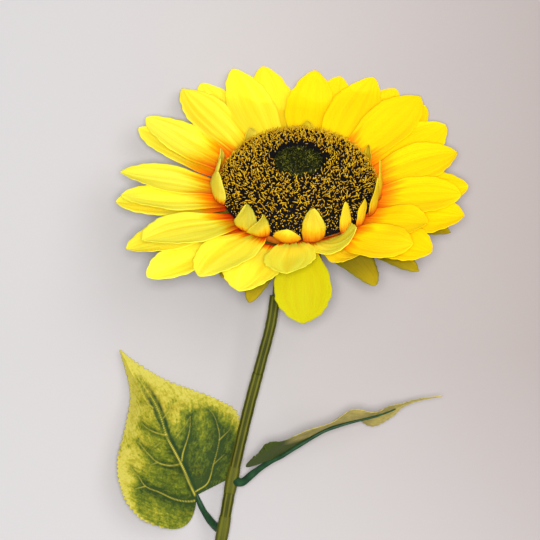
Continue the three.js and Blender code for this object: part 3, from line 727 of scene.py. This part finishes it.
def calyx(name, level, rows, node):
    """A ring of sepals on a flat band round the receptacle."""
    inner = receptacle_radius(level + SEPAL["thick"] / 2) + GAP
    outer, low, high = inner + BAND_WIDTH, level - SEPAL_SHEET / 2, level + SEPAL_SHEET / 2
    ring = dict(SEPAL, start=inner + BAND_WIDTH / 2, level=level)
    parts = [
        petal(ring, row, PETALET_STEPS, SEPAL_GRID, SEPAL_SHEET, waves=0.5, grooves=3, groove=0.14)
        for row in rows
    ]
    v, f, uv, _ = lathe([(inner, low), (outer, low), (outer, high), (inner, high), (inner, low)], HEAD_SIDES)
    parts.append((v, f, uv * (1, 0), {key: np.zeros(len(v)) for key in parts[0][3]}))
    piece(name, merged(parts), sepal_mat, "calyx", node)


calyx("calyx_upper_look", UPPER_LEVEL, UPPER_SEPALS, "calyx_upper")
calyx("calyx_lower_look", LOWER_LEVEL, LOWER_SEPALS, "calyx_lower")

profile = [(NEAR_AXIS, -BACK_DEPTH)]
profile += [tuple(p) for p in spline(RECEPTACLE_OUTLINE[:-1], np.linspace(0, 1, 24))]
profile += [(RECEPTACLE_RADIUS, -2), (RECEPTACLE_RADIUS - 0.6, -GAP), (NEAR_AXIS, -GAP)]
piece("receptacle_look", lathe(profile, HEAD_SIDES), receptacle_mat, "receptacle", "receptacle")

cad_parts["seed_disc"].data.materials[0] = disc_mat
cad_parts["disc_button"].data.materials[0] = button_mat


def bristles(feet, ways, lengths, radii, leans, sides, steps, tips, chance):
    """Many short bent bristles in one mesh. ways are their directions at the foot, leans the
    sideways vectors they bend towards."""
    n = len(feet)
    t = np.linspace(0, 1, steps + 1)
    ahead_part = ways[:, None] * (lengths[:, None] * t)[..., None]
    middle = feet[:, None] + ahead_part + leans[:, None] * (lengths[:, None] * t**1.6)[..., None]
    ahead = unit(np.gradient(middle, axis=1))
    side = unit(np.cross(ahead, np.broadcast_to([0.31, 0.52, 0.79], ahead.shape)))
    up = np.cross(ahead, side)
    turn = np.arange(sides) * 2 * math.pi / sides
    girth = radii[:, None] * (0.7 + 0.5 * np.sin(t * math.pi) ** 0.7)[None]
    verts = middle[:, :, None] + girth[..., None, None] * (
        np.cos(turn)[:, None] * side[:, :, None] + np.sin(turn)[:, None] * up[:, :, None]
    )
    index = np.arange(n * (steps + 1) * sides).reshape(n, steps + 1, sides)
    after = np.roll(index, -1, axis=2)
    quads = np.stack([index[:, :-1], after[:, :-1], after[:, 1:], index[:, 1:]], -1).reshape(-1, 4).tolist()
    ends = index[:, -1].tolist()
    feet_faces = index[:, 0, ::-1].tolist()
    value = tips[:, None, None] * np.clip(t * 1.25, 0, 1)[None, :, None]
    value = np.broadcast_to(value, (n, steps + 1, sides)).ravel()
    luck = np.broadcast_to(chance[:, None, None], (n, steps + 1, sides)).ravel()
    faces, uv = quads + ends + feet_faces, np.stack([luck, value], -1)
    return head_to_flower(verts.reshape(-1, 3)), faces, uv, {"tip": value, "chance": luck}


GOLDEN_ANGLE = math.radians(137.50776)
FLORETS, YELLOW_SHARE, FLOCK_HAIRS = 5400, 0.66, 1500


def florets():
    """Spiral rows of short dark tubes with curled yellow tips, evenly spread over the dome."""
    count = FLORETS
    r = np.linspace(BUTTON_RADIUS + 0.8, DISC_RADIUS - 0.3, 600)
    z = dome_height(r)
    area = np.concatenate([[0], np.cumsum((r[1:] + r[:-1]) / 2 * np.hypot(np.diff(r), np.diff(z)))])
    k = np.arange(count)
    radius = np.interp((k + 0.5) / count * area[-1], area, r)
    azimuth = k * GOLDEN_ANGLE + rng.normal(0, 0.012, count)
    slope = np.gradient(z, r)[np.clip(np.searchsorted(r, radius), 0, 599)]
    out = np.stack([np.cos(azimuth), np.sin(azimuth), 0 * azimuth], -1)
    normal = unit(out * -slope[:, None] + np.array([0, 0, 1.0]))
    foot = out * radius[:, None]
    foot[:, 2] = dome_height(radius) - 0.5
    down = unit(np.cross(np.cross(normal, out), normal))
    cross = np.cross(normal, down)
    lean = down * rng.normal(0.0, 0.45, count)[:, None] + cross * rng.normal(0, 0.6, count)[:, None]
    rim = np.clip((DISC_RADIUS - radius) / 5, 0.35, 1)
    tubes = bristles(
        foot, unit(normal + 0.25 * lean), rim * (1.3 + rng.uniform(-0.2, 0.3, count)),
        radii=np.full(count, 0.3), leans=np.zeros((count, 3)), sides=5, steps=1,
        tips=np.full(count, 0.25), chance=rng.random(count),
    )
    yellow = rng.random(count) < YELLOW_SHARE * np.clip((radius - BUTTON_RADIUS) / 5, 0.1, 1)
    n = yellow.sum()
    tips = bristles(
        foot[yellow] + normal[yellow] * 0.9, unit(normal + 0.5 * lean)[yellow],
        (rng.uniform(1.0, 2.3, count) * rim)[yellow],
        radii=rng.uniform(0.12, 0.22, n), leans=lean[yellow] * 0.8, sides=4, steps=3,
        tips=rng.uniform(0.7, 1.0, n), chance=rng.random(n),
    )
    return merged([tubes, tips])


piece("disc_florets", florets(), floret_mat, "seed_disc")


def flock():
    """The short green fuzz of the disc's middle."""
    count = FLOCK_HAIRS
    radius = (BUTTON_RADIUS + 0.3) * np.sqrt((np.arange(count) + 0.5) / count)
    azimuth = np.arange(count) * GOLDEN_ANGLE
    out = np.stack([np.cos(azimuth), np.sin(azimuth), 0 * azimuth], -1)
    foot = out * radius[:, None]
    dome = BUTTON_DOME * np.sqrt(np.clip(1 - (radius / BUTTON_RADIUS) ** 2, 0, 1))
    foot[:, 2] = DISC_FLOOR + GAP + dome - 0.5
    lean = np.stack([rng.normal(0, 0.7, count), rng.normal(0, 0.7, count), 0 * radius], -1)
    way = unit(out * (0.6 * radius / BUTTON_RADIUS)[:, None] + np.array([0, 0, 1.0]) + 0.6 * lean)
    clump = 0.5 + 0.5 * np.sin(azimuth * 3 + radius * 0.9) * np.cos(radius * 1.7 + azimuth)
    return bristles(
        foot, way, rng.uniform(0.8, 2.2, count), radii=rng.uniform(0.12, 0.3, count), leans=lean * 0.7,
        sides=3, steps=2, tips=np.clip(rng.uniform(0.2, 1, count) * (0.5 + 0.6 * clump), 0, 1),
        chance=rng.random(count),
    )


def flock_look():
    look = Look("button flock", Roughness=0.95, Specular_IOR_Level=0.1)
    colour = look.ramp(
        look.attribute("tip"), [(0.0, lin(6, 8, 3)), (0.4, lin(46, 50, 10)), (1.0, lin(160, 160, 50))]
    )
    patches = look.times(look.noise(look.object_place(), 260.0, 2), 0.6)
    look.to("Base Color", look.mix(patches, colour, lin(36, 40, 12), "MULTIPLY"))
    return look.mat


piece("button_flock", flock(), flock_look(), "disc_button")

# ---------- stem

stem_path = Path(STEM_PATH)


def rib_wave(sides):
    """1 on the stem's ribs and -1 between them."""
    return np.cos(STEM_RIBS * np.arange(sides) * 2 * math.pi / sides)


def stem_piece(start, end, radius, rings):
    """Part of the ribbed stem. Its attribute says how much each point is on a crest."""
    share, wave = np.linspace(start, end, rings), rib_wave(48)
    body = np.repeat(radius - RIB_DEPTH + RIB_DEPTH * wave[None], rings, 0)
    body += 0.05 * np.sin(share * 210)[:, None] + 0.04 * np.sin(share * 520 + 1.3)[:, None]
    return tube_along(stem_path, share, body, crest=np.tile(np.clip(wave, 0, 1) ** 2, rings))


upper_end = STEP_AT - STEP_GAP / stem_path.length
piece("stem_upper_look", stem_piece(0, upper_end, UPPER_RADIUS, 60), stem_mat, "stem", "stem_upper")


def stalk_way(leaf):
    along = stem_path.tangent(leaf["at"])
    way = np.array(leaf["petiole"][0]) - stem_path.point(leaf["at"])
    return unit(way - along * (way @ along))


def lower_stem():
    """The long lower piece, with a sleeve and a stub where each leaf stalk leaves it."""
    parts = [stem_piece(STEP_AT, 1, LOWER_RADIUS, 260)]
    rings, sides = 24, 40
    wave = rib_wave(sides)
    for leaf in (LEAF_LEFT, LEAF_RIGHT):
        half = SLEEVE_LENGTH / 2 / stem_path.length
        share = np.linspace(leaf["at"] - half, leaf["at"] + half, rings)
        swelling = 0.4 * np.sin(math.pi * np.linspace(0, 1, rings)) ** 0.5
        radius = np.repeat((LOWER_RADIUS - 0.1 + swelling)[:, None], sides, 1) + 0.07 * wave
        crest = np.tile(0.1 + 0.7 * np.clip(wave, 0, 1) ** 2, rings)
        parts.append(tube_along(stem_path, share, radius, crest=crest))
        foot, way = stem_path.point(leaf["at"]), stalk_way(leaf)
        reach = np.linspace(0, STUB_LENGTH - 2, 12)
        points = foot + way * reach[:, None]
        radius = STUB_RADIUS - 0.5 + 0.9 * np.clip(1 - reach / 4.4, 0, 1) ** 1.2
        radius[-1] -= 0.35
        ways = np.repeat(way[None], len(reach), 0)
        radius = np.repeat(radius[:, None], 24, 1)
        parts.append(tube(points, ways, radius, reach, crest=np.full(radius.size, 0.4)))
    return merged(parts)


piece("stem_lower_look", lower_stem(), stem_mat, "stem", "stem_lower")


def neck():
    """The thin bare neck between the receptacle and the ribbed stem, widest at the receptacle."""
    back = head_to_flower(np.array([0, 0, -BACK_DEPTH - GAP]))
    out = head_to_flower(np.array([0, 0, -BACK_DEPTH - 9]))
    end, ahead = stem_path.point(0), stem_path.tangent(0)
    path = Path([back, out, end - ahead * 12, end - ahead * GAP * 0.5])
    share = np.linspace(0, 1, 50)
    radius = np.repeat((NECK_RADIUS + 1 - np.minimum(share * 3, 1))[:, None], 28, 1)
    return tube_along(path, share, radius, crest=np.zeros(radius.size))


piece("stem_neck_look", neck(), neck_mat, "stem", "stem_neck")

# ---------- leaves


def smooth_read(pairs, x):
    """A smooth curve through [share, value] pairs that never overshoots (monotone cubic)."""
    px, py = np.array(pairs, float).T
    h, d = np.diff(px), np.diff(py) / np.diff(px)
    both = d[1:] * d[:-1]
    inside = np.where(both > 0, 2 * both / (d[1:] + d[:-1] + 1e-12), 0)
    m = np.concatenate([[d[0]], inside, [d[-1]]])
    k = np.clip(np.searchsorted(px, x, side="right") - 1, 0, len(h) - 1)
    t = (x - px[k]) / h[k]
    return (
        (2 * t**3 - 3 * t**2 + 1) * py[k] + (t**3 - 2 * t**2 + t) * h[k] * m[k]
        + (-2 * t**3 + 3 * t**2) * py[k + 1] + (t**3 - t**2) * h[k] * m[k + 1]
    )


def leaf_width(leaf, share, right):
    """How wide a leaf is at a share of its length, against its broadest."""
    sides = [smooth_read(leaf["outline"][key], share) for key in ("right", "left")]
    return np.where(right, *sides)


def leaf_point(leaf, spine, share, v, teeth=0.0):
    """The middle surface of a leaf at shares along it and places v across it, from -1 to 1."""
    share, v = np.broadcast_arrays(np.asarray(share, float), np.asarray(v, float))
    right = v > 0

    def pick(table):
        return np.where(right, table["right"], table["left"])

    def fold_at(foot, middle, tip):
        def eased(start):
            t = np.clip((share - start) / 0.4, 0, 1)
            return t * t * (3 - 2 * t)

        first = foot + (middle - foot) * eased(0)
        return first + (tip - first) * eased(0.4)

    bow = np.sin(math.pi * 0.8 * np.abs(v) ** 0.85) * (1 - share) ** 2.2
    reach = share * spine.length - pick(leaf["lobe"]) * bow
    at = np.clip(reach / spine.length, 0, 1)
    ahead = spine.tangent(at)
    point = spine.point(at) + ahead * np.minimum(reach, 0)[..., None]
    side = unit(np.cross(ahead, np.array([0, 0, 1.0])))
    up = np.cross(side, ahead)
    fold = np.radians(np.where(right, fold_at(*leaf["fold"]["right"]), fold_at(*leaf["fold"]["left"])))
    half = pick(leaf["half"]) * leaf_width(leaf, np.clip(share, 0, 1), right) * (1 + teeth)
    over, upward = half * np.cos(fold) * v, half * np.sin(fold) * np.abs(v)
    return point + side * over[..., None] + up * upward[..., None]


# Veins of a leaf: how strong each is, and its places along and across the leaf.
VEINS = [
    (0.85, [(0.015, -0.085), (0.12, -0.34), (0.19, -0.485), (0.253, -0.65), (0.325, -0.695),
            (0.385, -0.765)]),
    (0.5, [(0.253, -0.65), (0.258, -0.805)]),
    (0.85, [(0.215, 0), (0.28, -0.2), (0.333, -0.32), (0.403, -0.415), (0.468, -0.52), (0.495, -0.59)]),
    (0.4, [(0.333, -0.32), (0.348, -0.45)]),
    (0.35, [(0.408, -0.15), (0.415, -0.34)]),
    (0.8, [(0.408, 0.015), (0.465, -0.13), (0.522, -0.285), (0.58, -0.45)]),
    (0.45, [(0.593, 0.07), (0.638, -0.01), (0.667, -0.265)]),
    (1.0, [(0.022, -0.025), (0.215, 0), (0.408, 0.015), (0.63, 0.185), (0.795, 0.235)]),
    (0.8, [(0.022, 0.03), (0.037, 0.31), (0.122, 0.47), (0.233, 0.645), (0.323, 0.695), (0.41, 0.78)]),
    (0.3, [(0.122, 0.47), (0.145, 0.675)]),
    (0.4, [(0.233, 0.645), (0.258, 0.84)]),
    (0.75, [(0.225, 0.03), (0.27, 0.105), (0.338, 0.27), (0.432, 0.49)]),
    (0.3, [(0.365, 0.11), (0.393, 0.285), (0.427, 0.465)]),
    (0.35, [(0.508, 0.13), (0.53, 0.31), (0.575, 0.525)]),
]
MIDRIB = 7
VEIN_GIRTH, MIDRIB_GIRTH = 0.3, 0.46
TOOTH_PITCH, TOOTH_DEPTH, TOOTH_BAND = 2.2, 1.3, 0.1
LEAF_HALF, LEAF_LOWEST = 37, 0.3


def leaf_look_object(name, leaf, node, seed, dark_foot=0.0):
    """A leaf blade: a ruffled sheet with saw teeth and raised veins. Its attributes say where it is
    green, veined, in painted shade beside the midrib and round a vein, and khaki below. A dark foot marks
    the leaf that shows only its underside. Gives back the line of its midrib."""
    spine = Path(leaf["spine"])
    dice = np.random.default_rng(seed)
    rows, cols = 300, 181
    u = np.linspace(0, 1, rows)[:, None]
    v = np.linspace(-1, 1, cols)[None]
    v = np.sign(v) * np.abs(v) ** 0.85
    width = leaf_width(leaf, u, v > 0)
    phase = u * spine.length / TOOTH_PITCH + 0.25 * np.sin(u * 37 + seed) + 0.3 * (v > 0)
    tooth = np.abs((phase % 1) * 2 - 1) ** 0.8
    edge = np.clip((np.abs(v) - 1 + TOOTH_BAND) / TOOTH_BAND, 0, 1) * np.clip(width * 8, 0, 1)
    teeth = (tooth - 0.5) * TOOTH_DEPTH / (np.maximum(width, 0.05) * LEAF_HALF) * edge
    grid = leaf_point(leaf, spine, u + 0 * v, v + 0 * u, teeth)
    U, V = np.broadcast_arrays(u, v)
    distance = np.full(U.shape, 99.0)
    vein = np.zeros(U.shape)
    flat = grid.reshape(-1, 3)
    wobble = 0.35 * np.sin(U * 61 + 5 * V) * np.sin(U * 23 - 9 * V)
    for k, (strong, line) in enumerate(VEINS):
        t = np.linspace(0, 1, 70)
        share, across = spline(np.array(line, float), t).T
        path = leaf_point(leaf, spine, share, across)
        gap = np.linalg.norm(flat[:, None] - path[None], axis=2)
        near = gap.min(1).reshape(U.shape)
        where = t[gap.argmin(1)].reshape(U.shape)
        girth = (MIDRIB_GIRTH if k == MIDRIB else VEIN_GIRTH) * (1 - 0.4 * where)
        strength = strong * (1 - 0.5 * where) * np.clip(1.2 + 1.5 * wobble, 0.4, 1)
        vein = np.maximum(vein, strength * np.exp(-((near / girth) ** 2)))
        near = near + 4 * (1 - strong) ** 2
        distance = np.minimum(distance, near)
        if k == MIDRIB:
            spine_gap, spine_where = near, where
    # Painted shade: a dark band in the crease just right of the midrib, and a soft ring round every vein.
    beside = np.exp(-(((spine_gap - 1.7) / 1.0) ** 2)) * (V > 0.02)
    groove = beside * np.clip((1.0 - spine_where) / 0.25, 0, 1) * np.clip(0.95 + wobble, 0, 1) * 0.95
    halo = np.exp(-(((distance - 1.0) / 1.3) ** 2)) * np.clip(0.75 + wobble, 0, 1)
    groove = np.maximum(groove, 0.34 * halo * (U < 0.86))
    margin = (1 - np.abs(V)) * width * LEAF_HALF
    low_part = np.clip((0.62 - U) / 0.4, 0, 1)
    upper = np.clip((U - 0.12) / 0.22, 0, 1)
    inner = np.clip((margin - 5 * (V < 0) * upper) / (2 + 10 * upper), 0, 1) * low_part
    near_veins = np.exp(-distance / 3.2) * np.clip(margin / 5, 0, 1) * np.clip((0.92 - U) / 0.2, 0, 1)
    green = np.clip(0.55 * near_veins + 0.8 * inner * (0.75 + 0.25 * (V > 0)), 0, 1.1)
    ruffle = 1 + 2 * (dark_foot > 0)
    lift = 0.25 * vein + 0.5 * ruffle * np.sin(U * 19 + 2) * np.abs(V) ** 2
    lift = lift + 0.35 * ruffle * np.sin(U * 31 + 3 * V + dice.uniform(0, 6)) * np.abs(V)
    lift = lift - 0.35 * np.exp(-((spine_gap / 1.6) ** 2))
    lift = lift * np.clip(width * 3 - 1, 0, 1) * np.clip(U * 12, 0, 1)
    normal = unit(np.cross(np.gradient(grid, axis=1), np.gradient(grid, axis=0)))
    grid = grid + normal * lift[..., None]
    grid[..., 2] = np.maximum(grid[..., 2], LEAF_LOWEST)
    uv = np.stack([(V + 1) / 2, U], -1)
    khaki = np.clip((U - dark_foot) / 0.05, 0, 1)
    parts = sheet(grid, SHEET_THICK, uv, {"vein": vein, "green": green, "groove": groove, "khaki": khaki})
    if dark_foot:
        parts[3]["under"][:] = 1
    piece(name, parts, leaf_mat, "leaf", node)
    return spine


BLADE_RIB_RADIUS, STALK_SHARE = 1.2, 0.28


def rib(name, leaf, spine, below, node, raised):
    """The stalk from the stem's stub, running on as a rib under the blade."""
    foot, way = stem_path.point(leaf["at"]), stalk_way(leaf)
    offset = LEAF_THICK / 2 + GAP + BLADE_RIB_RADIUS
    points = [foot + way, foot + way * (STUB_LENGTH - 1)]
    points += [np.array(p) for p in leaf["petiole"]]
    for s in (0.02, 0.16, 0.3, 0.45, 0.6, 0.72):
        points.append(spine.point(s) + below * (offset - 0.7 * s - raised))
    path = Path(points)
    share = np.linspace(0, 1, 120)
    past = (share - STALK_SHARE) / (1 - STALK_SHARE)
    stalk = STUB_RADIUS - (STUB_RADIUS - BLADE_RIB_RADIUS) * share / STALK_SHARE
    radius = np.where(share < STALK_SHARE, stalk, BLADE_RIB_RADIUS - 0.7 * past)
    sides = 20
    turn = np.arange(sides) * 2 * math.pi / sides
    body = radius[:, None] * (1 + 0.05 * np.cos(3 * turn)[None] + 0.04 * np.sin(share * 60)[:, None])
    body[-3:] *= np.array([0.9, 0.7, 0.35])[:, None]
    piece(name, tube_along(path, share, body), rib_mat, "leaf_rib", node)


left_spine = leaf_look_object("leaf_left_look", LEAF_LEFT, "leaf_left_blade", 3)
right_spine = leaf_look_object("leaf_right_look", LEAF_RIGHT, "leaf_right_blade", 5, dark_foot=0.2)
rib("leaf_left_rib_look", LEAF_LEFT, left_spine, np.array([0, 0, -1.0]), "leaf_left_rib", 0.2)
rib("leaf_right_rib_look", LEAF_RIGHT, right_spine, unit(np.array([0.2, -1, 0])), "leaf_right_rib", 0.9)

# ---------- floor, lights and camera

FLOOR_REACH = 4
CAMERA_HEIGHT, CAMERA_LENS = 0.9, 123
# From the middle of the head to the middle of the view, in millimetres.
VIEW_MIDDLE = (-13.66, -39)
WORLD_STRENGTH = 0.28

r = FLOOR_REACH
floor_mesh = bpy.data.meshes.new("floor")
floor_mesh.from_pydata([(-r, -r, 0), (r, -r, 0), (r, r, 0), (-r, r, 0)], [], [(0, 1, 2, 3)])
floor = bpy.data.objects.new("floor", floor_mesh)
bpy.context.scene.collection.objects.link(floor)
paper = Look("floor paper", Roughness=0.9, Specular_IOR_Level=0.05)
place = paper.object_place()
east, north = [paper.n("SeparateXYZ", out=k, inputs={0: place}) for k in (0, 1)]
# Painted shade: the plain pale paper darkens and turns pinker towards the right, most of all near the top,
# and darkens a little towards the top, in place of the fall of the light.
rightward = paper.math("POWER", paper.fit(east, 3.6, 0.54, clamp=True), 1.5)
upward = paper.fit(north, 3.6, 0.64, clamp=True)
shade = paper.times(rightward, paper.fit(upward, 0.85, 0.12))
floor_with_painted_shade = paper.mix(shade, lin(202, 199, 200), lin(176, 166, 163))
floor_with_painted_shade = paper.mix(upward, floor_with_painted_shade, lin(240, 240, 240), "MULTIPLY")
paper.to("Base Color", floor_with_painted_shade)
floor_mesh.materials.append(paper.mat)

scene = bpy.context.scene
world = bpy.data.worlds.new("studio")
world.use_nodes = True
background = world.node_tree.nodes["Background"].inputs
background[0].default_value = (1, 0.985, 0.98, 1)
background[1].default_value = WORLD_STRENGTH
scene.world = world

middle = (OFFSET[0] + VIEW_MIDDLE[0], OFFSET[1] + VIEW_MIDDLE[1], HEAD_HEIGHT)
middle = Vector([c / 1000 for c in middle])


def soft_light(name, place, size, power):
    """A round white light that faces the middle of the head."""
    data = bpy.data.lights.new(name, "AREA")
    data.shape, data.size, data.energy = "DISK", size, power
    obj = bpy.data.objects.new(name, data)
    obj.location = middle + Vector(place)
    obj.rotation_euler = Vector(place).to_track_quat("Z", "Y").to_euler()
    scene.collection.objects.link(obj)


soft_light("front", (0, 0, 1.0), 0.16, 10.4)
soft_light("key", (0.55, 0.3, 1.5), 0.9, 9)

camera_data = bpy.data.cameras.new("camera")
camera_data.lens = CAMERA_LENS
camera_data.sensor_width = 36
camera = bpy.data.objects.new("camera", camera_data)
camera.location = middle + Vector((0, 0, CAMERA_HEIGHT))
camera.rotation_euler = (0, 0, 0)
scene.collection.objects.link(camera)
scene.camera = camera
scene.view_settings.view_transform = "Standard"
scene.view_settings.look = "None"

bpy.context.view_layer.update()
